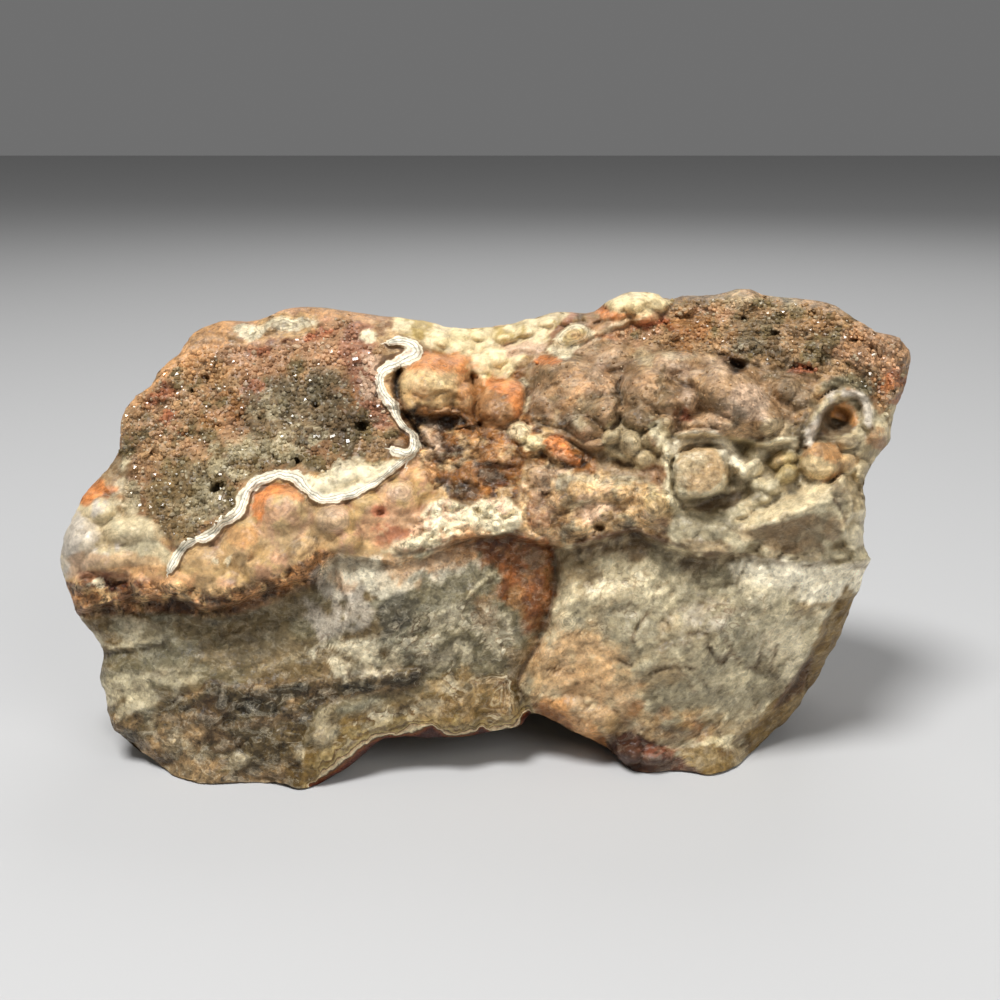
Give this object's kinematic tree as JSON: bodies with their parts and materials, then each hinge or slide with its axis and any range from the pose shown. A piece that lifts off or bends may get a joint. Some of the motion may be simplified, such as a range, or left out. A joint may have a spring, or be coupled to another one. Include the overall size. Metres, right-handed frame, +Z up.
{
  "type": "lace agate specimen",
  "caption": "Rough hand specimen of botryoidal lace agate with a drusy hollow, a lumpy drusy block, a banded shelf and broken faces below.",
  "frame": {"origin": "middle of the bounding box's base, on the plane that the stone stands on", "axes": "+X to the right of the displayed side and along the longest extent, +Y away from the viewer, +Z up"},
  "size_m": [0.104, 0.0484, 0.0558],
  "materials": {
    "agate": "natural stone: part waxy, part crystalline, part rough"
  },
  "bodies": {
    "root": {"agate": "agate"}
  },
  "joints": []
}
